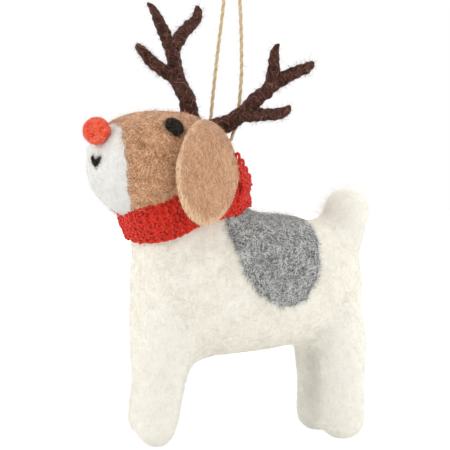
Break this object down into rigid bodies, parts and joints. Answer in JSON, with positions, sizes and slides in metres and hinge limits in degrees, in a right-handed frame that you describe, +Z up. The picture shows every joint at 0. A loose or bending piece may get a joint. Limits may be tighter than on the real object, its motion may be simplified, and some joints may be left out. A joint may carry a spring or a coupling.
{
  "type": "felt dog christmas ornament",
  "caption": "Needle-felted wool dog ornament with wool-wound wire antlers, a round red nose, flap ears, a grey saddle patch and a knitted scarf, hung by a twine loop.",
  "frame": {"origin": "underside of the top of the twine loop, where a hook bears", "axes": "+Z up, -Y the way the dog's body faces, +X the dog's left side"},
  "size_m": [0.0537, 0.0822, 0.133],
  "materials": {
    "cream_wool": "needle-felted wool",
    "grey_wool": "needle-felted heather wool",
    "tan_wool": "needle-felted wool",
    "pale_tan_wool": "needle-felted wool",
    "red_wool": "felted wool ball",
    "red_knit": "knitted wool yarn",
    "black_wool": "needle-felted wool",
    "brown_wool": "wound wool",
    "twine": "twisted plant-fibre twine",
    "core_wire": "bare drawn wire"
  },
  "bodies": {
    "dog": {"torso": "cream_wool", "front_left_leg": "cream_wool", "front_right_leg": "cream_wool", "rear_left_leg": "cream_wool", "rear_right_leg": "cream_wool", "tail": "cream_wool", "saddle_patch": "grey_wool", "head": "tan_wool", "muzzle": "cream_wool", "nose_ball": "red_wool", "left_eye": "black_wool", "right_eye": "black_wool", "mouth": "black_wool", "left_antler_beam": "brown_wool", "left_antler_upper_tine": "brown_wool", "left_antler_lower_tine": "brown_wool", "right_antler_beam": "brown_wool", "right_antler_upper_tine": "brown_wool", "right_antler_lower_tine": "brown_wool", "left_antler_wire": "core_wire", "right_antler_wire": "core_wire", "scarf_band": "red_knit", "scarf_end": "red_knit", "hanging_loop": "twine"},
    "left_ear": {"left_ear": "pale_tan_wool"},
    "right_ear": {"right_ear": "pale_tan_wool"}
  },
  "joints": [
    {"name": "left_ear_lift", "type": "hinge", "parent": "dog", "child": "left_ear", "pos_m": [0.0069, -0.01156, -0.0459], "axis": [0.2924, -0.9563, 0], "range_deg": [0, 70]},
    {"name": "right_ear_lift", "type": "hinge", "parent": "dog", "child": "right_ear", "pos_m": [-0.01117, -0.01708, -0.0459], "axis": [-0.2924, 0.9563, 0], "range_deg": [0, 70]}
  ]
}
